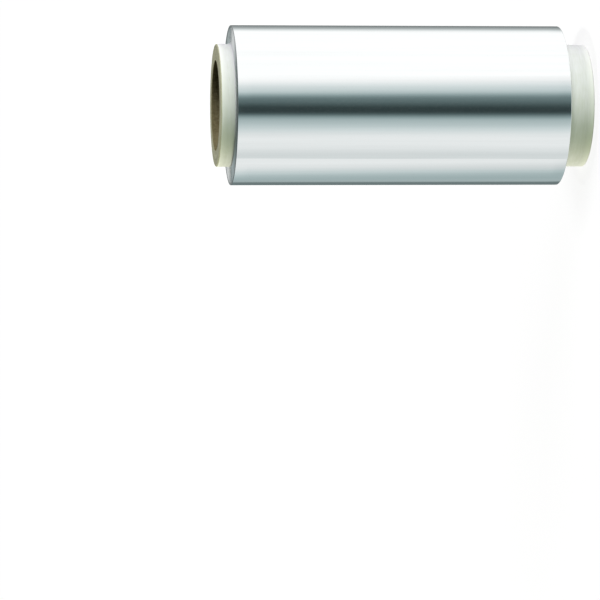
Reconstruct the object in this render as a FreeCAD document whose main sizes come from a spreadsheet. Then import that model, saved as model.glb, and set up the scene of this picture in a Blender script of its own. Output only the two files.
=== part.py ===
import FreeCAD, Part
import math
import os
import Sketcher

# Aluminium foil roll, in millimetres.
# The roll stands on end, on the longer bare end of its cardboard core.
# +Z is the axis, and the origin is the centre of the core's lower end.

# Driving dimensions: name, value and what it measures
DIMENSIONS = [
    ("foil_width", 130.0, "width of the web, which is the length of the winding"),
    ("foil_diameter", 62.8, "across the winding, at the middle of its last turn"),
    ("core_diameter", 48.2, "across the core, and the inside of the winding"),
    ("core_wall", 6.6, "thickness of the core's laminated paper wall"),
    ("bare_core_below", 10.6, "core showing below the winding"),
    ("bare_core_above", 5.8, "core showing above the winding"),
    ("outer_rim_bevel", 0.6, "bevel on the outer rims of the core's cut ends"),
    ("bore_rim_bevel", 0.4, "bevel on the rims of the bore"),
    ("free_end_step", 0.12, "height of the web's free end above the turn under it"),
    ("free_end_angle", 229.0, "place of the free end about the axis, in degrees from +X"),
    ("turn_count", 9.0, "turn edges that show as ridges across an end face"),
    ("plain_rim", 0.3, "plain face left beside the outermost and the innermost ridge"),
    ("crest_drop", 0.04, "from the plain face down to the ridges' crests"),
    ("crease_depth", 0.4, "from the plain face down to the creases between ridges"),
]

# What is worked out from them
CORE_RADIUS = "sizes.core_diameter / 2"
BORE_RADIUS = "(sizes.core_diameter / 2 - sizes.core_wall)"
FOIL_RADIUS = "sizes.foil_diameter / 2"
CORE_LENGTH = "(sizes.bare_core_below + sizes.foil_width + sizes.bare_core_above)"
FOIL_BOTTOM = "sizes.bare_core_below"
FOIL_TOP = "(sizes.bare_core_below + sizes.foil_width)"
FREE_END = "sizes.free_end_angle * 1 deg"
STEP_OFFSET = "sizes.free_end_step / 4"
FREE_END_FOOT = "(sizes.foil_diameter - sizes.free_end_step) / 2"
FIRST_RIDGE = "(sizes.foil_diameter / 2 - sizes.plain_rim)"

# The spiral of ridges falls inwards by one pitch in a turn, so one pitch more must fit
PITCH = (
    "((sizes.foil_diameter - sizes.core_diameter) / 2 - 2 * sizes.plain_rim)"
    " / (round(sizes.turn_count) + 1)"
)

ORIGIN = FreeCAD.Vector(0, 0, 0)
UP = FreeCAD.Vector(0, 0, 1)

doc = FreeCAD.newDocument("foil_roll")


def fill_sheet():
    """Put every driving dimension in the sheet, under its own alias."""
    sheet = doc.addObject("Spreadsheet::Sheet", "sizes")
    for row, (alias, value, meaning) in enumerate(DIMENSIONS, start=1):
        sheet.set(f"A{row}", alias)
        sheet.set(f"B{row}", str(value))
        sheet.set(f"C{row}", meaning)
        sheet.setAlias(f"B{row}", alias)
    doc.recompute()


def size(expression):
    """What an expression on the sheet comes to, for a first drawing of a sketch."""
    return float(doc.getObject("sizes").evalExpression(expression))


def new_body(name):
    body = doc.addObject("PartDesign::Body", name)
    body.Label = name
    return body


def new_sketch(body, name, plane):
    """A sketch on one of the body's own planes."""
    sketch = body.newObject("Sketcher::SketchObject", name)
    support = next(item for item in body.Origin.OriginFeatures if item.Role == plane)
    sketch.AttachmentSupport = [(support, "")]
    sketch.MapMode = "FlatFace"
    return sketch


def face_free_end(sketch, vertical):
    """Turn a sketch about the roll's axis, so that its X axis points to the free end."""
    sketch.AttachmentOffset = FreeCAD.Placement(ORIGIN, FreeCAD.Rotation(vertical, 1))
    sketch.setExpression("AttachmentOffset.Rotation.Angle", FREE_END)


def in_numbers(places):
    """The sketch's own numbers for its X axis, and for the points of an edge."""
    numbers = {"x axis": -1, "start": 1, "end": 2, "centre": 3, "origin": 1}
    return [numbers.get(place, place) for place in places]


def constrain(sketch, kind, *places):
    sketch.addConstraint(Sketcher.Constraint(kind, *in_numbers(places)))


def dimension(sketch, name, kind, places, expression):
    """Add a dimension to a sketch, and tie it to the sheet."""
    constraint = Sketcher.Constraint(kind, *in_numbers(places), size(expression))
    sketch.renameConstraint(sketch.addConstraint(constraint), name)
    sketch.setExpression(f"Constraints.{name}", expression)


def draw_circle(sketch, name, radius):
    circle = sketch.addGeometry(Part.Circle(ORIGIN, UP, size(radius)))
    constrain(sketch, "Coincident", circle, "centre", "x axis", "origin")
    dimension(sketch, name, "Radius", (circle,), radius)


def add_feature(body, kind, name):
    """The next feature of a body, which becomes its tip."""
    feature = body.newObject("PartDesign::" + kind, name)
    body.Tip = feature
    return feature


def rims(shape, radius):
    """The round edges of one radius, by name."""
    names = []
    for number, edge in enumerate(shape.Edges, start=1):
        if isinstance(edge.Curve, Part.Circle) and math.isclose(edge.Curve.Radius, radius):
            names.append(f"Edge{number}")
    return names


def break_rims(body, name, radius, bevel):
    """Bevel both rims of one radius, as the saw leaves them on a paper tube."""
    tube = body.Tip
    rim_edges = rims(tube.Shape, size(radius))
    feature = add_feature(body, "Chamfer", name)
    feature.Base = (tube, rim_edges)
    feature.setExpression("Size", bevel)
    doc.recompute()


def make_core():
    """The paper tube: a ring padded to length, with the rims of both cut ends broken."""
    body = new_body("cardboard_core")
    ring = new_sketch(body, "core_ring", "XY_Plane")
    draw_circle(ring, "outside", CORE_RADIUS)
    draw_circle(ring, "bore", BORE_RADIUS)

    tube = add_feature(body, "Pad", "core_tube")
    tube.Profile = ring
    tube.setExpression("Length", CORE_LENGTH)
    doc.recompute()

    break_rims(body, "outer_rims", CORE_RADIUS, "sizes.outer_rim_bevel")
    break_rims(body, "bore_rims", BORE_RADIUS, "sizes.bore_rim_bevel")
    return body


def draw_last_turn(sketch):
    """One turn of a spiral, closed by the step of the free end, which lies on +X.

    The turn is two half circles. Their centres lie on the X axis, a quarter of the step
    to each side of the roll's axis, so the halves meet smoothly at the back and part by
    one step at the front.
    """
    step = size("sizes.free_end_step")
    radius = size(FOIL_RADIUS)
    offset = FreeCAD.Vector(step / 4, 0, 0)
    foot = FreeCAD.Vector(size(FREE_END_FOOT), 0, 0)
    lip = FreeCAD.Vector(foot.x + step, 0, 0)
    rising = Part.Circle(offset, UP, radius + step / 4)
    falling = Part.Circle(-offset, UP, radius - step / 4)
    front = sketch.addGeometry(Part.ArcOfCircle(rising, 0, math.pi))
    back = sketch.addGeometry(Part.ArcOfCircle(falling, math.pi, 2 * math.pi))
    edge = sketch.addGeometry(Part.LineSegment(foot, lip))

    constrain(sketch, "Coincident", front, "end", back, "start")
    constrain(sketch, "Coincident", back, "end", edge, "start")
    constrain(sketch, "Coincident", edge, "end", front, "start")
    constrain(sketch, "PointOnObject", front, "centre", "x axis")
    constrain(sketch, "PointOnObject", front, "start", "x axis")
    constrain(sketch, "PointOnObject", back, "start", "x axis")
    constrain(sketch, "Horizontal", edge)
    constrain(sketch, "Symmetric", front, "centre", back, "centre", "x axis", "origin")
    dimension(sketch, "centre_offset", "DistanceX", ("x axis", "origin", front, "centre"), STEP_OFFSET)
    dimension(sketch, "foot", "DistanceX", ("x axis", "origin", edge, "start"), FREE_END_FOOT)


def make_winding():
    """The whole web, wound tight on the core, with its turns showing on both ends."""
    body = new_body("foil_winding")
    section = new_sketch(body, "web_section", "XY_Plane")
    face_free_end(section, UP)
    section.setExpression("AttachmentOffset.Base.z", FOIL_BOTTOM)
    draw_last_turn(section)
    draw_circle(section, "on_core", CORE_RADIUS)

    web = add_feature(body, "Pad", "wound_web")
    web.Profile = section
    web.setExpression("Length", "sizes.foil_width")
    doc.recompute()

    for upper_face in (False, True):
        for outer_half in (True, False):
            cut_ridges(body, upper_face, outer_half)
    return body


def draw_comb(sketch, upper_face, first_crest):
    """The outline, in section, of what is cut away above the ridges of an end face.

    Its zigzag side runs inwards from the first crest. Every slope is as long as the
    first, and the crests are level, and so are the creases.
    """
    inwards = -1 if upper_face else 1
    sign = "-" if upper_face else "+"
    face = FOIL_TOP if upper_face else FOIL_BOTTOM
    crest = f"{face} {sign} sizes.crest_drop"
    crease = f"{face} {sign} sizes.crease_depth"
    outside = size(face) - inwards * size("sizes.crest_drop")
    half_pitch = size(PITCH) / 2
    slope_count = 2 * round(size("sizes.turn_count"))

    corners = [FreeCAD.Vector(size(first_crest), outside, 0)]
    for number in range(slope_count + 1):
        level = size(crease) if number % 2 else size(crest)
        corners.append(FreeCAD.Vector(size(first_crest) - number * half_pitch, level, 0))
    corners.append(FreeCAD.Vector(corners[-1].x, outside, 0))
    edges = []
    for corner, following in zip(corners, corners[1:] + corners[:1]):
        edges.append(sketch.addGeometry(Part.LineSegment(corner, following)))
    for edge, following in zip(edges, edges[1:] + edges[:1]):
        constrain(sketch, "Coincident", edge, "end", following, "start")

    outer_side, first_slope, inner_side, back = edges[0], edges[1], edges[-2], edges[-1]
    slopes = edges[1:-2]
    constrain(sketch, "Vertical", outer_side)
    constrain(sketch, "Vertical", inner_side)
    constrain(sketch, "Horizontal", back)
    for slope, following in zip(slopes, slopes[1:]):
        constrain(sketch, "Equal", first_slope, following)
        constrain(sketch, "Horizontal", slope, "start", following, "end")

    side_ends = [(outer_side, "end"), (outer_side, "start")]
    if not upper_face:
        side_ends.reverse()
    low_end, high_end = side_ends
    crest_place = ("x axis", "origin", first_slope, "start")
    crease_place = ("x axis", "origin", first_slope, "end")
    dimension(sketch, "first_crest", "DistanceX", crest_place, first_crest)
    dimension(sketch, "crest_height", "DistanceY", crest_place, crest)
    dimension(sketch, "crease_height", "DistanceY", crease_place, crease)
    slope_ends = (first_slope, "end", first_slope, "start")
    dimension(sketch, "half_pitch", "DistanceX", slope_ends, f"{PITCH} / 2")
    dimension(sketch, "side", "DistanceY", (*low_end, *high_end), "2 * sizes.crest_drop")


def draw_half_turn_axis(sketch, outer_half):
    """The construction line that a half turn is struck about, a quarter pitch off centre."""
    side = 1 if outer_half else -1
    foot = FreeCAD.Vector(side * size(PITCH) / 4, 0, 0)
    top = FreeCAD.Vector(foot.x, size("sizes.foil_width"), 0)
    axis = sketch.addGeometry(Part.LineSegment(foot, top), True)
    constrain(sketch, "Vertical", axis)
    constrain(sketch, "PointOnObject", axis, "start", "x axis")
    dimension(sketch, "axis_height", "DistanceY", (axis, "start", axis, "end"), "sizes.foil_width")
    places = ("x axis", "origin", axis, "start") if outer_half else (axis, "start", "x axis", "origin")
    dimension(sketch, "axis_offset", "DistanceX", places, f"{PITCH} / 4")


def cut_ridges(body, upper_face, outer_half):
    """Cut half of the spiral of turn edges into an end face.

    The web winds outwards clockwise, seen from above, on both faces. The outer half
    starts beside the free end, and the other half carries on one pitch further in. Each
    is struck from its own centre, so they meet all the way across.
    """
    face = "upper" if upper_face else "lower"
    half = "outer" if outer_half else "inner"
    comb = new_sketch(body, f"{face}_{half}_comb", "XZ_Plane")
    face_free_end(comb, FreeCAD.Vector(0, 1, 0))
    draw_comb(comb, upper_face, FIRST_RIDGE if outer_half else f"({FIRST_RIDGE} - {PITCH})")
    draw_half_turn_axis(comb, outer_half)

    before = body.Tip.Shape.Volume
    ridges = add_feature(body, "Groove", f"{face}_{half}_ridges")
    ridges.Profile = comb
    ridges.ReferenceAxis = (comb, ["Axis0"])
    ridges.Angle = 180
    ridges.Reversed = not outer_half
    doc.recompute()
    if ridges.Shape.isNull() or ridges.Shape.Volume >= before:
        raise RuntimeError(f"{ridges.Name} cuts nothing")


def check(bodies):
    """Stop before anything is written if an object failed or a solid is not sound."""
    for item in doc.Objects:
        if "Invalid" in item.State or "Error" in item.State:
            raise RuntimeError(f"{item.Name} failed to compute")
    for body in bodies:
        shape = body.Shape
        if shape.isNull() or not shape.isValid() or len(shape.Solids) != 1:
            raise RuntimeError(f"{body.Label} is not one sound solid")
        print(f"{body.Label}: {shape.Volume / 1000:.2f} cm3, {len(shape.Faces)} faces")


fill_sheet()
pieces = [make_core(), make_winding()]
check(pieces)
os.makedirs("parts", exist_ok=True)
for piece in pieces:
    piece.Shape.exportStep(f"parts/{piece.Label}.step")
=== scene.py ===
import math

import bpy
import numpy as np
from mathutils import Matrix, Vector


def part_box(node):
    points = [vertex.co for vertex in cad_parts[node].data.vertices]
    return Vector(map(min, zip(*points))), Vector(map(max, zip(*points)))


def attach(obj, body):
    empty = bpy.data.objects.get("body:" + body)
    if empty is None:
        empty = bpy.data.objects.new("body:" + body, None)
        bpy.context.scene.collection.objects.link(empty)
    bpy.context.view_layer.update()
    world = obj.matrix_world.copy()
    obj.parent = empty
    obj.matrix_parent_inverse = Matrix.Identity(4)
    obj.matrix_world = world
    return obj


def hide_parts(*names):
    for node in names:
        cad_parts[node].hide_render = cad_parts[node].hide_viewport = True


# A roll of aluminium foil, standing on the longer bare end of its paper core.
# Metres throughout, with +Z along the roll's axis and the floor at zero.

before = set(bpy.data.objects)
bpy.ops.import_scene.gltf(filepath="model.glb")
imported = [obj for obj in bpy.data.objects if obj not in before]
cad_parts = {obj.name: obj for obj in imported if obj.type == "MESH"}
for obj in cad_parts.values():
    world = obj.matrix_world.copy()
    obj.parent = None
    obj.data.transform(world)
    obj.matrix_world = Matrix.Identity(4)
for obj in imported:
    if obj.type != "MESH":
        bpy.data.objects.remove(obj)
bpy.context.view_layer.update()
scene = bpy.context.scene
scene.view_settings.view_transform = "Standard"
print("frame loaded:", ", ".join(sorted(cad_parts)))


# What the pieces take from the solids
coreLow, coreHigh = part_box("cardboard_core")
foilLow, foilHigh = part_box("foil_winding")
coreRadius = (coreHigh.x - coreLow.x) / 2
coreLength = coreHigh.z
foilRadius = (foilHigh.x - foilLow.x + foilHigh.y - foilLow.y) / 4
rollMiddle = Vector((0, 0, coreLength / 2))


camera = {
    "away": 1.3197,  # from the middle of the roll
    "above": 8.38,  # degrees that it looks down
    "aside": 0.53,  # degrees that it stands towards -X
    "tilt": 0.02,  # degrees about its own line of sight
    "focalPixels": 3337,  # focal length, in pixels of the picture
    "pictureWidth": 600,  # pixels
    "sensorWidth": 36,  # millimetres
    "middleAcross": 400.0,  # pixel at which the middle of the roll shows, from the left
    "middleDown": 105.6,  # and from the top
}


# The picture has the roll lying on its side, so the camera's right is the roll's down
def makeCamera():
    above = math.radians(camera["above"])
    aside = math.radians(camera["aside"])
    look = Vector((
        math.sin(aside),
        math.cos(above) * math.cos(aside),
        -math.sin(above) * math.cos(aside),
    ))
    right = Vector((0, -math.sin(above), -math.cos(above)))
    up = right.cross(look)
    facing = Matrix((right, up, -look)).transposed()

    # Turned off the roll's middle, so that it shows at its own pixel
    centre = camera["pictureWidth"] / 2
    turnLeft = math.atan2(camera["middleAcross"] - centre, camera["focalPixels"])
    turnDown = math.atan2(centre - camera["middleDown"], camera["focalPixels"])
    facing = facing @ Matrix.Rotation(turnLeft, 3, "Y")
    facing = facing @ Matrix.Rotation(-turnDown, 3, "X")
    facing = facing @ Matrix.Rotation(-math.radians(camera["tilt"]), 3, "Z")

    lens = bpy.data.cameras.new("camera")
    lens.sensor_fit = "HORIZONTAL"
    lens.sensor_width = camera["sensorWidth"]
    lens.lens = camera["focalPixels"] * camera["sensorWidth"] / camera["pictureWidth"]
    body = bpy.data.objects.new("camera", lens)
    scene.collection.objects.link(body)
    place = rollMiddle - look * camera["away"]
    body.matrix_world = Matrix.Translation(place) @ facing.to_4x4()
    scene.camera = body


makeCamera()
print("camera placed")


# Helpers for the meshes

sharpAngle = math.radians(50)  # between two faces, from which their edge is a sharp one


# 0 below the middle of the edge, 1 above it, and 3t^2 - 2t^3 across its width
def softEdge(value, middle, width):
    t = np.clip((value - middle) / width + 0.5, 0, 1)
    return t * t * (3 - 2 * t)


# Sum of a few cosines with seeded waves per turn, phases and sizes, between about -1 and 1
def waviness(turns, seed, slowest, fastest, count):
    chance = np.random.default_rng(seed)
    rate = chance.uniform(slowest, fastest, count)
    phase = chance.uniform(0, 2 * np.pi, count)
    size = chance.uniform(0.5, 1, count)
    waves = np.cos(2 * np.pi * turns[..., None] * rate + phase) * size
    return waves.sum(axis=-1) / size.sum()


# The same with whole waves per turn, so that it closes on itself all the way round
def roundWaviness(angle, seed, slowest, fastest, count):
    chance = np.random.default_rng(seed)
    rate = chance.integers(slowest, fastest + 1, count)
    phase = chance.uniform(0, 2 * np.pi, count)
    size = chance.uniform(0.5, 1, count)
    waves = np.cos(angle[..., None] * rate + phase) * size
    return waves.sum(axis=-1) / size.sum()


# Angles round a full turn that crowd together at a few evenly spaced places:
# angle = 2 pi (t - k sin(2 pi n t) / (2 pi n)) for n places and a crowding of k
def crowdedTurn(t, places, crowding):
    wave = np.sin(2 * np.pi * places * t) / (2 * np.pi * places)
    return 2 * np.pi * (t - crowding * wave)


# Corners of the faces of a grid, with a number of bands of faces between its rows. Columns join
# up with their start, and rows do too when there are as many bands as rows.
def gridFaces(rowCount, columnCount, bands):
    row, column = np.meshgrid(np.arange(bands), np.arange(columnCount), indexing="ij")
    nextRow = (row + 1) % rowCount
    nextColumn = (column + 1) % columnCount
    corners = [
        row * columnCount + column,
        row * columnCount + nextColumn,
        nextRow * columnCount + nextColumn,
        nextRow * columnCount + column,
    ]
    return np.stack(corners, axis=-1).reshape(-1, 4)


# A section carried round the axis: x = r cos(angle), y = r sin(angle), and the height is z.
# Rows run along the section and columns round the axis, and both join up with their start.
def makeRing(name, radius, angle, height, materials, rowMaterial, attributes):
    rowCount, columnCount = radius.shape
    points = np.stack([radius * np.cos(angle), radius * np.sin(angle), height], axis=-1)
    mesh = bpy.data.meshes.new(name)
    mesh.from_pydata(points.reshape(-1, 3), [], gridFaces(rowCount, columnCount, rowCount))
    for material in materials:
        mesh.materials.append(material)
    mesh.polygons.foreach_set("material_index", np.repeat(rowMaterial, columnCount))
    for label, values in attributes.items():
        layer = mesh.attributes.new(label, "FLOAT", "POINT")
        layer.data.foreach_set("value", values.ravel())
    mesh.shade_smooth()
    mesh.set_sharp_from_angle(angle=sharpAngle)
    mesh.validate()
    mesh.update()
    piece = bpy.data.objects.new(name, mesh)
    scene.collection.objects.link(piece)
    return piece


# Helpers for the materials

# A node with its own settings, and each input set to a value or joined to an output
def addNode(tree, kind, inputs, **settings):
    node = tree.nodes.new("ShaderNode" + kind)
    for name, value in settings.items():
        setattr(node, name, value)
    for name, value in inputs.items():
        if isinstance(value, bpy.types.NodeSocket):
            tree.links.new(value, node.inputs[name])
        else:
            node.inputs[name].default_value = value
    return node


def newMaterial(name):
    material = bpy.data.materials.new(name)
    material.use_nodes = True
    material.node_tree.nodes.clear()
    return material, material.node_tree


def finishMaterial(tree, shader):
    output = tree.nodes.new("ShaderNodeOutputMaterial")
    tree.links.new(shader.outputs[0], output.inputs["Surface"])


def remap(tree, value, fromLow, fromHigh, toLow, toHigh):
    inputs = {0: value, 1: fromLow, 2: fromHigh, 3: toLow, 4: toHigh}
    return addNode(tree, "MapRange", inputs).outputs[0]


def combine(tree, operation, first, second):
    return addNode(tree, "Math", {0: first, 1: second}, operation=operation).outputs[0]


# Sum of two values, each times its own weight
def weighed(tree, first, firstWeight, second, secondWeight):
    rest = combine(tree, "MULTIPLY", second, secondWeight)
    inputs = {0: first, 1: firstWeight, 2: rest}
    return addNode(tree, "Math", inputs, operation="MULTIPLY_ADD").outputs[0]


# A value that is stored with the points of the mesh
def readAttribute(tree, name):
    return addNode(tree, "Attribute", {}, attribute_name=name).outputs["Fac"]


# Noise on the piece's own coordinates, stretched by a scale along each axis
def stretchedNoise(tree, stretch, scale, detail):
    place = addNode(tree, "TexCoord", {})
    mapping = addNode(tree, "Mapping", {"Vector": place.outputs["Object"], "Scale": stretch})
    inputs = {"Vector": mapping.outputs[0], "Scale": scale, "Detail": detail, "Roughness": 0.6}
    return addNode(tree, "TexNoise", inputs).outputs[0]


# Distance from the roll's axis, in metres
def distanceFromAxis(tree):
    place = addNode(tree, "TexCoord", {})
    flat = {0: place.outputs["Object"], 1: (1, 1, 0)}
    across = addNode(tree, "VectorMath", flat, operation="MULTIPLY")
    length = addNode(tree, "VectorMath", {0: across.outputs[0]}, operation="LENGTH")
    return length.outputs["Value"]


# 0 at one height and below it, 1 at another and above it, both in metres
def climb(tree, low, high):
    place = addNode(tree, "TexCoord", {})
    height = addNode(tree, "SeparateXYZ", {"Vector": place.outputs["Object"]}).outputs["Z"]
    return remap(tree, height, low, high, 0, 1)


# 1 between two heights, fading to 0 at a reach below the first and above the second
def between(tree, low, lowReach, high, highReach):
    above = climb(tree, low - lowReach, low)
    below = climb(tree, high + highReach, high)
    return combine(tree, "MULTIPLY", above, below)


# Noise of one parameter, for what is the same all the way round at one distance
def ringNoise(tree, scale, detail):
    inputs = {"W": distanceFromAxis(tree), "Scale": scale, "Detail": detail, "Roughness": 0.7}
    return addNode(tree, "TexNoise", inputs, noise_dimensions="1D").outputs[0]


# A colour picked along a run of colours, each given with its place between 0 and 1
def colourAlong(tree, value, stops):
    ramp = addNode(tree, "ValToRGB", {"Fac": value})
    elements = ramp.color_ramp.elements
    while len(elements) < len(stops):
        elements.new(0.5)
    for element, (place, colour) in zip(elements, stops):
        element.position = place
        element.color = (*colour, 1)
    return ramp.outputs["Color"]


# From the first of two colours to the second, each an output or three numbers
def blendColours(tree, factor, first, second):
    inputs = {"Fac": factor}
    for name, colour in (("Color1", first), ("Color2", second)):
        inputs[name] = colour if isinstance(colour, bpy.types.NodeSocket) else (*colour, 1)
    return addNode(tree, "MixRGB", inputs).outputs[0]


# A normal moved by a height, on top of another one if there is one under it
def addBump(tree, height, distance, strength, under=None):
    inputs = {"Height": height, "Distance": distance, "Strength": strength}
    if under is not None:
        inputs["Normal"] = under
    return addNode(tree, "Bump", inputs).outputs[0]


foil = {
    "step": 0.12e-3,  # the free end stands this far above the turn under it
    "freeEnd": 229,  # degrees from +X
    "turns": 9,  # turn edges that show on each end
    "plainRim": 0.3e-3,  # plain face beside the first and the last of them
    "crestDrop": 0.04e-3,  # from the end's level down to the crests
    "creaseDepth": 0.4e-3,  # and down to the creases between them
    "unevenTurns": 0.35,  # share of their height by which the crests sink here and there
    "cornerRound": 0.22e-3,  # the web's edges lie over a little at the outer corner
    "tailLift": 0.10e-3,  # the last of the web stands off a little
    "tailReach": 0.10,  # radians over which it does
    "tailLean": 0.75,  # degrees that the free end leans over the height of the web
    "ripple": 9e-6,  # long ripples in the web, parallel to the axis
    "slowDrift": 0.10,  # radians that the wider ripples turn from one end to the other
    "quickDrift": -0.04,  # and the narrower ones
    "quickShare": 0.45,  # height of the narrower ones, as a share of the wider ones'
    "stepWidth": 0.0012,  # radians from the free end to the turn under it
    "turnMargin": 0.06,  # pitches past the first and the last crest at which the turns end
    "turnFade": 0.22,  # pitches over which they do
    "paintedRimShadeShare": 0.10,  # share of the upper end that its painted dark rim of shade takes
    "columns": 388,
    "endRows": 88,
    "wallRows": 25,
    "cornerRows": 5,
    "brightColour": (0.90, 0.92, 0.92),
    "dullColour": (0.8595, 0.8786, 0.8786),
    "edgeColour": (0.84, 0.86, 0.86),
    "edgeDark": (0.6048, 0.6192, 0.6192),
    # painted shade in the creases between the turns
    "paintedCreaseShade": (0.38, 0.40, 0.40),
    # painted shade along the upper rim and the upper corner
    "paintedRimShadeAndHighlight": (0.25, 0.265, 0.265),
}


# Bright rolled face, with streaks along the axis and fine rolling lines round it
def makeFoilFace():
    material, tree = newMaterial("brightFoil")
    streaks = stretchedNoise(tree, (1, 1, 0.015), scale=420, detail=4)
    fineStreaks = stretchedNoise(tree, (1, 1, 0.01), scale=2600, detail=2)
    rollingLines = stretchedNoise(tree, (0.02, 0.02, 1), scale=2200, detail=3)
    haze = stretchedNoise(tree, (1, 1, 0.3), scale=26, detail=3)

    colour = colourAlong(tree, streaks, [(0.30, foil["dullColour"]), (0.62, foil["brightColour"])])
    wear = weighed(tree, rollingLines, 0.35, haze, 1.0)
    roughness = remap(tree, wear, 0.45, 0.95, 0.09, 0.15)
    normal = addBump(tree, streaks, distance=0.02e-3, strength=0.18)
    normal = addBump(tree, fineStreaks, distance=0.004e-3, strength=0.15, under=normal)
    tangent = addNode(tree, "Tangent", {}, direction_type="RADIAL", axis="Z")
    shader = addNode(tree, "BsdfPrincipled", {
        "Base Color": colour,
        "Metallic": 1.0,
        "Roughness": roughness,
        "Anisotropic": 0.7,
        "Anisotropic Rotation": 0.25,
        "Tangent": tangent.outputs[0],
        "Normal": normal,
    })
    finishMaterial(tree, shader)
    return material


# Edges of the turns: a satin stack of thin rings, with painted shade in the creases and along the
# upper rim
def makeFoilEdges():
    material, tree = newMaterial("foilEdges")
    rings = ringNoise(tree, scale=4200, detail=5)
    coarseRings = ringNoise(tree, scale=1300, detail=2)
    patches = stretchedNoise(tree, (1, 1, 1), scale=90, detail=3)
    crease = readAttribute(tree, "crease")
    paintedRimShade = readAttribute(tree, "paintedRimShade")

    thinRings = colourAlong(tree, rings, [(0.36, foil["edgeDark"]), (0.60, foil["edgeColour"])])
    # painted shade, darker towards the bottom of each crease
    creaseShade = combine(tree, "MULTIPLY", crease, remap(tree, coarseRings, 0.3, 0.7, 0.55, 1.0))
    colour = blendColours(tree, creaseShade, thinRings, foil["paintedCreaseShade"])
    # painted shade along the upper rim and the upper corner
    colour = blendColours(tree, paintedRimShade, colour, foil["paintedRimShadeAndHighlight"])
    roughness = remap(tree, patches, 0.3, 0.7, 0.30, 0.42)
    normal = addBump(tree, rings, distance=0.03e-3, strength=0.5)
    shader = addNode(tree, "BsdfPrincipled", {
        "Base Color": colour,
        "Metallic": 1.0,
        "Roughness": roughness,
        "Normal": normal,
    })
    finishMaterial(tree, shader)
    return material


# How far a turn has fallen inwards, in turns, at an angle past the free end. It is made of
# two half circles: (1 - cos a) / 4 over the first half, and (3 + cos a) / 4 over the second.
def fallInwards(past):
    return np.where(past < np.pi, (1 - np.cos(past)) / 4, (3 + np.cos(past)) / 4)


# Radius of the last turn at an angle a past the free end and a share v of the height:
# R + step / 2 - step * fall, with the tail lift * (3/4 + 1/4 cos(9 v + 0.6)) * exp(-a / reach)
# and long seeded ripples, lowered by one ripple so that they stay inside the solid.
def wallRadius(past, along):
    turn = foilRadius + foil["step"] / 2 - foil["step"] * fallInwards(past)
    uneven = 0.75 + 0.25 * np.cos(9 * along + 0.6)
    tail = foil["tailLift"] * uneven * np.exp(-past / foil["tailReach"])
    slowAngle = past + foil["slowDrift"] * along
    quickAngle = past + foil["quickDrift"] * along
    slow = roundWaviness(slowAngle, seed=11, slowest=5, fastest=19, count=7)
    quick = roundWaviness(quickAngle, seed=12, slowest=24, fastest=58, count=9)
    return turn + tail + foil["ripple"] * (slow + foil["quickShare"] * quick - 1)


# Drop of an end face below its level, and how deep in a crease it lies. With u the number of
# pitches inwards from the first crest, less the fall, the crests lie at whole u and the creases
# between them, and each crest sinks by a seeded share that runs on along the web.
def endDrop(radius, past):
    pitch = (foilRadius - coreRadius - 2 * foil["plainRim"]) / (foil["turns"] + 1)
    firstCrest = foilRadius - foil["plainRim"]
    u = (firstCrest - radius) / pitch - fallInwards(past)
    ridge = np.round(u)
    fromCrest = np.abs(u - ridge) * 2
    crease = 0.5 * fromCrest + 0.25 * (1 - np.cos(np.pi * fromCrest))
    turnsAlong = ridge + past / (2 * np.pi)
    uneven = waviness(turnsAlong, seed=21, slowest=0.3, fastest=2.6, count=6)
    crease = crease + (1 - crease) * foil["unevenTurns"] * (0.5 - 0.5 * uneven)
    margin, fade = foil["turnMargin"], foil["turnFade"]
    turned = softEdge(u, -margin, fade) * (1 - softEdge(u, foil["turns"] + margin, fade))
    drop = foil["crestDrop"] + (foil["creaseDepth"] - foil["crestDrop"]) * crease
    return drop * turned, crease * turned


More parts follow.
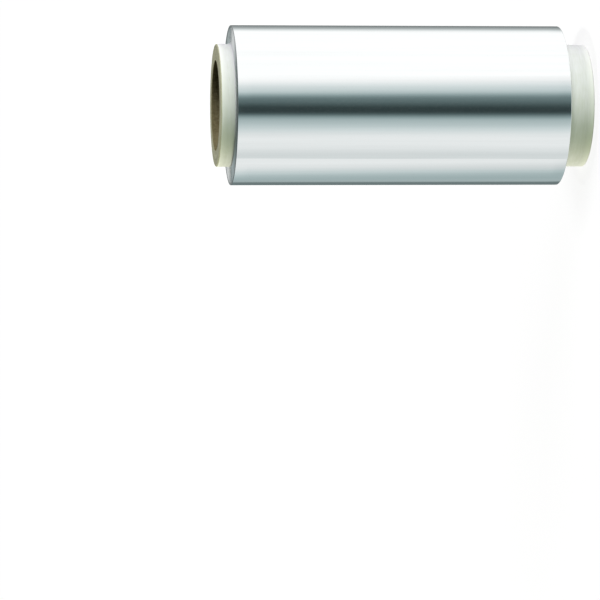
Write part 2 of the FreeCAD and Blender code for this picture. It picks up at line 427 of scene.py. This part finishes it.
# The whole winding as one ring: the wall going up, the upper corner, the upper end going in,
# the inside on the core, the lower end going out, and the lower corner.
def makeFoilWinding():
    t = np.linspace(0, 1, foil["columns"])
    past = crowdedTurn(t, places=1, crowding=0.85) * (1 - foil["stepWidth"] / (2 * np.pi))
    bottom, top = foilLow.z, foilHigh.z
    corner = foil["cornerRound"]

    along = np.linspace(0, 1, foil["wallRows"])[:, None]
    wall = wallRadius(past[None, :], along)
    wallHeight = bottom + corner + (top - bottom - 2 * corner) * along

    lean = np.linspace(0, np.pi / 2, foil["cornerRows"] + 2)[1:-1, None]
    upperCorner = wall[-1] - corner * (1 - np.cos(lean))
    upperCornerHeight = top - corner * (1 - np.sin(lean))
    lowerCorner = wall[0] - corner * (1 - np.cos(lean[::-1]))
    lowerCornerHeight = bottom + corner * (1 - np.sin(lean[::-1]))

    inwards = np.linspace(0, 1, foil["endRows"])[:, None]
    upperEnd = wall[-1] - corner + (coreRadius - wall[-1] + corner) * inwards
    lowerEnd = wall[0] - corner + (coreRadius - wall[0] + corner) * inwards[::-1]
    upperDrop, upperCrease = endDrop(upperEnd, past)
    lowerDrop, lowerCrease = endDrop(lowerEnd, past)

    # painted shade, full at the upper rim and fading inwards
    upperPaintedRimShade = 1 - softEdge(inwards, foil["paintedRimShadeShare"], foil["paintedRimShadeShare"])

    face, edges = 0, 1  # their places in the list of materials
    sections = [
        (wall, wallHeight, 0, 0, face),
        # the upper corner lies wholly in the painted rim shade
        (upperCorner, upperCornerHeight, 0, 1, edges),
        (upperEnd, top - upperDrop, upperCrease, upperPaintedRimShade, edges),
        (lowerEnd, bottom + lowerDrop, lowerCrease, 0, edges),
        (lowerCorner, lowerCornerHeight, 0, 0, face),
    ]
    radius, height, crease, paintedRimShade = (
        np.concatenate([section[part] + 0 * section[0] for section in sections])
        for part in range(4)
    )
    rowMaterial = np.concatenate([np.full(len(section[0]), section[4]) for section in sections])
    rowMaterial[foil["wallRows"] - 1] = edges  # the band above the wall's last row is the corner
    twist = math.radians(foil["tailLean"]) * (height - top) / (top - bottom)
    angle = math.radians(foil["freeEnd"]) + past[None, :] + twist

    materials = [makeFoilFace(), makeFoilEdges()]
    attributes = {"crease": crease, "paintedRimShade": paintedRimShade}
    piece = makeRing("foilWinding", radius, angle, height, materials, rowMaterial, attributes)
    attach(piece, "root")
    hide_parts("foil_winding")
    return piece


foilPiece = makeFoilWinding()
print("foil winding made:", len(foilPiece.data.polygons), "faces")


core = {
    "wall": 6.6e-3,
    "outerRim": 0.6e-3,  # how far the sawn outer rims are broken
    "boreRim": 0.4e-3,
    "plyThickness": 0.52e-3,
    "plyCount": 16,  # more than the wall has
    "plyRagged": 0.12e-3,  # how far the plies sink at the cut ends
    "plyWaves": (2, 5, 9, 17, 31),  # waves round the end in which they do
    "plyGapDepth": 0.08e-3,
    "seamLead": 0.117,  # height in which a ply winds once round
    "seamStart": 60,  # degrees from +X at the lower end, outside
    "seamDepth": 0.10e-3,
    "seamWidth": 0.40e-3,
    "columns": 256,
    "wallRows": 97,
    "endRows": 24,
    "rimRows": 4,
    "outsideColour": (0.82, 0.83, 0.83),
    "outsideDark": (0.738, 0.7553, 0.7138),
    "seamColour": (0.5084, 0.5146, 0.5146),
    # painted shade on the core beside the foil's ends
    "paintedContactShadeColour": (0.6232, 0.6308, 0.6308),
    # lighter frayed paper at both cut rims, partly a painted highlight
    "paintedRimShadeAndHighlight": (0.97, 0.98, 0.95),
    "paintedShadeBelow": 3.8e-3,  # how far the painted shade beside the foil reaches along the core
    "paintedShadeAbove": 2.4e-3,
    "rimReach": 2.5e-3,  # how far the rims of both cut ends fade into the paper beside them
    "rimWidth": 0.4e-3,
    "cutColour": (0.56, 0.56, 0.41),
    "cutDark": (0.35, 0.35, 0.23),
    "boreColour": (0.47, 0.43, 0.235),
    "boreDark": (0.20, 0.17, 0.075),
    # the bore's dark seam, and painted shade at both its rims
    "boreSeamAndRimShadeColour": (0.10, 0.085, 0.0375),
}


# A share at both rims of the core, fading to 0 away from them
def atRims(tree, share):
    reach, width = core["rimReach"], core["rimWidth"]
    middle = between(tree, width + reach, reach, coreLength - width - reach, reach)
    return remap(tree, middle, 0, 1, share, 0)


# Off-white outer ply, with fibres, faint blotches and scuffs that run round it. It is lighter
# at its cut rims, frayed paper partly with a painted highlight, and has painted shade beside the
# foil.
def makeOutsidePaper():
    material, tree = newMaterial("outsidePaper")
    blotches = stretchedNoise(tree, (1, 1, 1), scale=110, detail=3)
    scuffs = stretchedNoise(tree, (0.12, 0.12, 1), scale=1500, detail=4)
    fibres = stretchedNoise(tree, (1, 1, 1), scale=2300, detail=4)
    seam = readAttribute(tree, "seam")

    mixed = weighed(tree, scuffs, 0.6, blotches, 0.4)
    colour = colourAlong(tree, mixed, [(0.34, core["outsideDark"]), (0.60, core["outsideColour"])])
    colour = blendColours(tree, seam, colour, core["seamColour"])
    # lighter frayed paper at both cut rims, partly a painted highlight
    colour = blendColours(tree, atRims(tree, 1.0), colour, core["paintedRimShadeAndHighlight"])
    # painted shade on the core beside the foil's ends
    paintedContactShade = between(tree, foilLow.z, core["paintedShadeBelow"], foilHigh.z, core["paintedShadeAbove"])
    colour = blendColours(tree, paintedContactShade, colour, core["paintedContactShadeColour"])
    roughness = remap(tree, fibres, 0.3, 0.7, 0.68, 0.84)
    normal = addBump(tree, fibres, distance=0.03e-3, strength=0.5)
    normal = addBump(tree, scuffs, distance=0.03e-3, strength=0.35, under=normal)
    shader = addNode(tree, "BsdfPrincipled", {
        "Base Color": colour,
        "Roughness": roughness,
        "Specular IOR Level": 0.3,
        "Normal": normal,
    })
    finishMaterial(tree, shader)
    return material


# Sawn end: olive board in thin rings, ply on ply, with the off-white ply outermost
def makeCutPaper():
    material, tree = newMaterial("cutPaper")
    rings = ringNoise(tree, scale=1900, detail=4)
    grain = stretchedNoise(tree, (1, 1, 1), scale=1900, detail=4)
    ply = readAttribute(tree, "plyGap")
    away = distanceFromAxis(tree)
    outermost = remap(tree, away, coreRadius - 0.05e-3, coreRadius - 0.01e-3, 0, 1)

    mixed = weighed(tree, rings, 0.55, grain, 0.45)
    colour = colourAlong(tree, mixed, [(0.36, core["cutDark"]), (0.58, core["cutColour"])])
    colour = blendColours(tree, combine(tree, "MULTIPLY", ply, 0.6), colour, core["cutDark"])
    colour = blendColours(tree, outermost, colour, core["outsideColour"])
    roughness = remap(tree, grain, 0.3, 0.7, 0.80, 0.95)
    normal = addBump(tree, grain, distance=0.06e-3, strength=0.6)
    shader = addNode(tree, "BsdfPrincipled", {
        "Base Color": colour,
        "Roughness": roughness,
        "Specular IOR Level": 0.2,
        "Normal": normal,
    })
    finishMaterial(tree, shader)
    return material


# Brown inner ply, with coarser fibres, a dark seam, and painted shade at both rims
def makeBorePaper():
    material, tree = newMaterial("borePaper")
    blotches = stretchedNoise(tree, (1, 1, 0.7), scale=150, detail=4)
    fibres = stretchedNoise(tree, (1, 1, 0.5), scale=1300, detail=5)
    seam = readAttribute(tree, "seam")

    mixed = weighed(tree, blotches, 0.45, fibres, 0.55)
    colour = colourAlong(tree, mixed, [(0.35, core["boreDark"]), (0.62, core["boreColour"])])
    # painted shade at both rims, together with the dark seam
    seamAndPaintedRimShade = combine(tree, "MAXIMUM", atRims(tree, 0.6), seam)
    colour = blendColours(tree, seamAndPaintedRimShade, colour, core["boreSeamAndRimShadeColour"])
    roughness = remap(tree, fibres, 0.3, 0.7, 0.78, 0.92)
    normal = addBump(tree, fibres, distance=0.05e-3, strength=0.6)
    shader = addNode(tree, "BsdfPrincipled", {
        "Base Color": colour,
        "Roughness": roughness,
        "Specular IOR Level": 0.2,
        "Normal": normal,
    })
    finishMaterial(tree, shader)
    return material


# How many plies in from the outside a point lies
def pliesInwards(radius):
    return (coreRadius - radius) / core["plyThickness"]


# How far the cut plies sink: each ply by its own seeded level, with its own seeded waves round
# the end. The outermost ply has no level of its own, only the waves.
def plySink(radius, angle, seed):
    count, rates = core["plyCount"], np.array(core["plyWaves"])
    number = np.clip(np.floor(pliesInwards(radius)).astype(int), 0, count - 1)
    chance = np.random.default_rng(seed)
    level = chance.uniform(0.1, 1, count)
    level[0] = 0
    sizes = chance.uniform(-1, 1, (count, len(rates)))
    phases = chance.uniform(0, 2 * np.pi, (count, len(rates)))
    waves = sizes[number] * np.cos(angle[..., None] * rates + phases[number])
    return core["plyRagged"] * np.clip(level[number] + waves.sum(axis=-1) / len(rates), 0, 1.6)


# The narrow gap between plies: |cos(pi p)|^6 at p plies in from the outside
def gapBetweenPlies(radius):
    return np.abs(np.cos(np.pi * pliesInwards(radius))) ** 6


# A seam that winds up the tube: a groove exp(-(d / w)^2) at distance d round from it
def seamGroove(turned, middle, radius):
    offset = (turned - middle + np.pi) % (2 * np.pi) - np.pi
    return np.exp(-((offset * radius / core["seamWidth"]) ** 2))


# The whole tube as one ring: the outside going up, the upper rim, the upper cut end going in,
# the bore's rim, the bore going down, and the same at the lower end. The columns wind with the
# plies, angle = u + 2 pi z / lead, so that both seams lie along a column.
def makePaperCore():
    t = np.arange(core["columns"]) / core["columns"]
    turned = crowdedTurn(t, places=2, crowding=0.8)[None, :]
    boreRadius = coreRadius - core["wall"]
    outerRim, boreRim = core["outerRim"], core["boreRim"]
    upTo = np.linspace(0, 1, core["wallRows"])[:, None]
    lean = np.linspace(0, np.pi / 2, core["rimRows"] + 2)[1:-1, None]
    across = np.linspace(0, 1, core["endRows"])[:, None]

    outside = coreRadius + 0 * upTo
    outsideHeight = outerRim + (coreLength - 2 * outerRim) * upTo
    outerRimRadius = coreRadius - outerRim * (1 - np.cos(lean))
    outerRimHeight = coreLength - outerRim * (1 - np.sin(lean))
    endRadius = coreRadius - outerRim - (core["wall"] - outerRim - boreRim) * across
    boreRimRadius = boreRadius + boreRim * (1 - np.sin(lean))
    boreRimHeight = coreLength - boreRim * (1 - np.cos(lean))
    bore = boreRadius + 0 * upTo
    boreHeight = coreLength - boreRim - (coreLength - 2 * boreRim) * upTo

    outsideZone, cutZone, boreZone = 0, 1, 2  # their places in the list of materials
    sections = [
        (outside, outsideHeight, outsideZone),
        (outerRimRadius, outerRimHeight, cutZone),
        (endRadius, coreLength + 0 * across, cutZone),
        (boreRimRadius, boreRimHeight, boreZone),
        (bore, boreHeight, boreZone),
        (boreRimRadius[::-1], coreLength - boreRimHeight[::-1], boreZone),
        (endRadius[::-1], 0 * across, cutZone),
        # the lower outer rim is in the off-white outside paper, the upper in the olive cut end:
        # whitish fibres, partly a painted highlight
        (outerRimRadius[::-1], coreLength - outerRimHeight[::-1], outsideZone),
    ]
    radius = np.concatenate([section[0] for section in sections]) + 0 * turned
    height = np.concatenate([section[1] for section in sections]) + 0 * turned
    rowMaterial = np.concatenate([np.full(len(section[0]), section[2]) for section in sections])
    zone = rowMaterial[:, None]
    upper = height > coreLength / 2
    angle = math.radians(core["seamStart"]) + turned + 2 * np.pi * height / core["seamLead"]

    # The seams: one outside and one in the bore, half a turn apart
    outsideSeam = seamGroove(turned, 0, coreRadius) * (zone == outsideZone)
    boreSeam = seamGroove(turned, np.pi, boreRadius) * (zone == boreZone)
    radius = radius - core["seamDepth"] * outsideSeam + core["seamDepth"] * boreSeam

    # The plies at the cut ends
    upperSink = plySink(radius, angle, seed=31)
    lowerSink = plySink(radius, angle, seed=32)
    plyGap = gapBetweenPlies(radius) * (zone == cutZone)
    sink = np.where(upper, upperSink, lowerSink) * (zone == cutZone) + core["plyGapDepth"] * plyGap
    height = np.where(upper, height - sink, height + sink)

    materials = [makeOutsidePaper(), makeCutPaper(), makeBorePaper()]
    attributes = {"seam": outsideSeam + boreSeam, "plyGap": plyGap}
    piece = makeRing("paperCore", radius, angle, height, materials, rowMaterial, attributes)
    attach(piece, "root")
    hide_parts("cardboard_core")
    return piece


corePiece = makePaperCore()
print("paper core made:", len(corePiece.data.polygons), "faces")


studio = {
    "tentRadius": 2.6,
    "tentColumns": 360,
    "tentRows": 89,
    "tentPole": 88,  # degrees above and below the horizon at which it is closed off
    "floorSize": 40.0,
    "floorColour": (0.22, 0.22, 0.22),
    "floorLift": 0.86,  # glow of the floor for the camera, near the roll
    "floorLiftFar": 1.0,  # and away from it
    "floorNear": 0.15,  # metres from the roll's axis between which the glow rises
    "floorFar": 1.2,
    "ambient": 0.025,
    "ambientColour": (0.93, 1.0, 0.90),
    "gloom": 0.20,  # brightness of the tent where no panel lights it
    "coolTint": (0.62, 0.975, 1.0),  # its colour where it is dark
    "leanMiddle": -8.4,  # degrees above the horizon at which a leaning panel starts as written
    "leanReach": 6,  # degrees above and below that over which it leans
    "wallsFrom": 14,  # degrees above the horizon where the panels give way to plain walls
    "wallsEdge": 14,  # degrees over which they do
    "upperWalls": 0.88,
    "upperLean": 0.62,  # share by which they are brighter towards +X and darker towards -X
    "zenithFrom": 42,  # degrees above the horizon where the walls give way to the zenith
    "zenithEdge": 40,
    "zenith": 0.10,
    "nadirFrom": 52,  # degrees below the horizon where the panels give way to the nadir
    "nadirEdge": 40,
    "nadir": 0.88,
}

# Lamps: name, degrees about the axis from -Y towards +X, degrees above the horizon, distance,
# width and height in metres, brightness and colour
studioLamps = [
    ("key", 56, 6.5, 2.0, 1.3, 0.5, 0.89, (1.0, 0.96, 1.05)),
    ("fill", -114, 0, 2.0, 1.2, 0.14, 1.0, (1.03, 1.03, 0.82)),
    ("front", 10, 0, 2.0, 1.2, 0.14, 0.20, (0.65, 1.0, 0.35)),
    ("overhead", 90, 87.5, 2.0, 0.4, 0.4, 0.52, (1.0, 1.0, 1.0)),
]

# Panels of the tent, as angles about the axis from -Y towards +X, in degrees: start, width of
# its soft edge, end, width of that edge, how much brightness it adds, and by how many degrees
# its start moves back for each degree of height
tentPanels = [
    (15.1, 13, 150, 40, 0.42, 0.25),
    (30.5, 32, 138.5, 20, 0.50, 0.45),
    (-146.5, 8, -17, 12, 0.27, 0),
    (-110, 44, -32, 36, 0.42, 1.2),
    (-81, 3, -67, 22, -0.15, 0),  # a duller strip in the panel towards -X
    (-13, 9, 3, 16, -0.15, 0),  # the dark strip that the roll shows along its middle
]

# Where the tent is less cool than elsewhere, in the same way, with the share that it loses
tentNeutrals = [
    (-106, 16, -40, 12, 0.50, 0),
    (138, 14, 200, 10, 0.65, 0),
    (-200, 10, -140, 14, 0.25, 0),
]


# Sum over a list of panels, each one soft edge going up times one going down, times its level
def panelSum(aroundDegrees, elevationDegrees, panels):
    reach = studio["leanReach"]
    height = np.clip(elevationDegrees - studio["leanMiddle"], -reach, reach)
    total = 0 * aroundDegrees
    for start, startEdge, end, endEdge, level, lean in panels:
        rising = softEdge(aroundDegrees + lean * height, start, startEdge)
        falling = 1 - softEdge(aroundDegrees, end, endEdge)
        total = total + level * rising * falling
    return total


# Brightness of the tent by direction: the gloom plus the panels, blended into plain walls and
# the zenith above, and into the nadir below
def tentBrightness(aroundDegrees, elevationDegrees):
    brightness = studio["gloom"] + panelSum(aroundDegrees, elevationDegrees, tentPanels)
    upper = softEdge(elevationDegrees, studio["wallsFrom"], studio["wallsEdge"])
    highest = softEdge(elevationDegrees, studio["zenithFrom"], studio["zenithEdge"])
    lower = softEdge(-elevationDegrees, studio["nadirFrom"], studio["nadirEdge"])
    walls = studio["upperWalls"] * (1 + studio["upperLean"] * np.sin(np.radians(aroundDegrees)))
    above = walls + (studio["zenith"] - walls) * highest
    return brightness * (1 - upper - lower) + above * upper + studio["nadir"] * lower


# A sphere of soft light and shade that only the metal's gloss sees
def makeTent():
    columns, rows = studio["tentColumns"], studio["tentRows"]
    around = np.arange(columns) * 360 / columns - 180
    elevation = np.linspace(-studio["tentPole"], studio["tentPole"], rows)
    aroundGrid, elevationGrid = np.meshgrid(around, elevation)
    angle = np.radians(aroundGrid - 90)
    tilt = np.radians(elevationGrid)
    reach = studio["tentRadius"]
    points = np.stack([
        reach * np.cos(tilt) * np.cos(angle),
        reach * np.cos(tilt) * np.sin(angle),
        reach * np.sin(tilt) + rollMiddle.z,
    ], axis=-1)
    inwards = [0, 3, 2, 1]  # order of a face's corners that turns it towards the roll
    faces = gridFaces(rows, columns, rows - 1)[:, inwards].tolist()
    lowestRow = range(columns)
    highestRow = range((rows - 1) * columns, rows * columns)
    faces.append(list(lowestRow))
    faces.append(list(reversed(highestRow)))

    brightness = tentBrightness(aroundGrid, elevationGrid)
    warmth = np.clip(brightness, 0, 1)
    warmth = (warmth + (1 - warmth) * panelSum(aroundGrid, elevationGrid, tentNeutrals))[..., None]
    tint = np.array(studio["coolTint"]) * (1 - warmth) + warmth
    colour = np.concatenate([brightness[..., None] * tint, np.ones_like(warmth)], axis=-1)

    mesh = bpy.data.meshes.new("reflectionTent")
    mesh.from_pydata(points.reshape(-1, 3), [], faces)
    layer = mesh.attributes.new("glow", "FLOAT_COLOR", "POINT")
    layer.data.foreach_set("color", colour.ravel())
    mesh.shade_smooth()
    mesh.update()

    material, tree = newMaterial("tentGlow")
    glow = addNode(tree, "Attribute", {}, attribute_name="glow").outputs["Color"]
    finishMaterial(tree, addNode(tree, "Emission", {"Color": glow, "Strength": 1.0}))
    material.cycles.emission_sampling = "NONE"
    mesh.materials.append(material)
    tent = bpy.data.objects.new("reflectionTent", mesh)
    scene.collection.objects.link(tent)
    tent.visible_camera = False
    tent.visible_diffuse = False
    tent.visible_shadow = False
    tent.visible_transmission = False


# 1 for a ray from the camera, or one that metal or glass sends on
def shownRay(tree):
    path = addNode(tree, "LightPath", {})
    shown = combine(tree, "MAXIMUM", path.outputs["Is Camera Ray"], path.outputs["Is Glossy Ray"])
    return combine(tree, "MAXIMUM", shown, path.outputs["Is Transmission Ray"])


# Pale floor that keeps the shadow, and glows enough for the camera to fade into white
def makeFloor():
    half = studio["floorSize"] / 2
    mesh = bpy.data.meshes.new("floor")
    corners = [(-half, -half, 0), (half, -half, 0), (half, half, 0), (-half, half, 0)]
    mesh.from_pydata(corners, [], [(0, 1, 2, 3)])
    material, tree = newMaterial("paleFloor")
    away = distanceFromAxis(tree)
    near, far = studio["floorNear"], studio["floorFar"]
    lift = remap(tree, away, near, far, studio["floorLift"], studio["floorLiftFar"])
    strength = combine(tree, "MULTIPLY", lift, shownRay(tree))
    paint = addNode(tree, "BsdfDiffuse", {"Color": (*studio["floorColour"], 1)})
    glow = addNode(tree, "Emission", {"Color": (1, 1, 1, 1), "Strength": strength})
    both = addNode(tree, "AddShader", {0: paint.outputs[0], 1: glow.outputs[0]})
    finishMaterial(tree, both)
    material.cycles.emission_sampling = "NONE"
    mesh.materials.append(material)
    floor = bpy.data.objects.new("floor", mesh)
    scene.collection.objects.link(floor)
    floor.visible_glossy = False


# A lamp that faces the roll, from an angle about the axis and a height, in degrees. White paper
# that faces a small lamp comes out at the given brightness: pi^2 away^2 watts make it 1.
def addLamp(name, around, above, away, wide, high, brightness, colour):
    light = bpy.data.lights.new(name, "AREA")
    light.shape = "RECTANGLE"
    light.size = wide
    light.size_y = high
    light.energy = brightness * (math.pi * away) ** 2
    light.color = colour
    lamp = bpy.data.objects.new(name, light)
    scene.collection.objects.link(lamp)
    turn, rise = math.radians(around - 90), math.radians(above)
    direction = Vector((
        math.cos(rise) * math.cos(turn),
        math.cos(rise) * math.sin(turn),
        math.sin(rise),
    ))
    facing = direction.to_track_quat("Z", "Y").to_matrix().to_4x4()
    lamp.matrix_world = Matrix.Translation(rollMiddle + direction * away) @ facing
    lamp.visible_glossy = False
    lamp.visible_camera = False


# White for the camera and for gloss, and a soft even light for everything else
def makeWorld():
    world = bpy.data.worlds.new("softWhite")
    world.use_nodes = True
    tree = world.node_tree
    tree.nodes.clear()
    shown = shownRay(tree)
    strength = remap(tree, shown, 0, 1, studio["ambient"], 1.0)
    shade = blendColours(tree, shown, studio["ambientColour"], (1, 1, 1))
    background = addNode(tree, "Background", {"Color": shade, "Strength": strength})
    output = tree.nodes.new("ShaderNodeOutputWorld")
    tree.links.new(background.outputs[0], output.inputs["Surface"])
    scene.world = world


makeTent()
makeFloor()
makeWorld()
for lamp in studioLamps:
    addLamp(*lamp)
print("studio made")
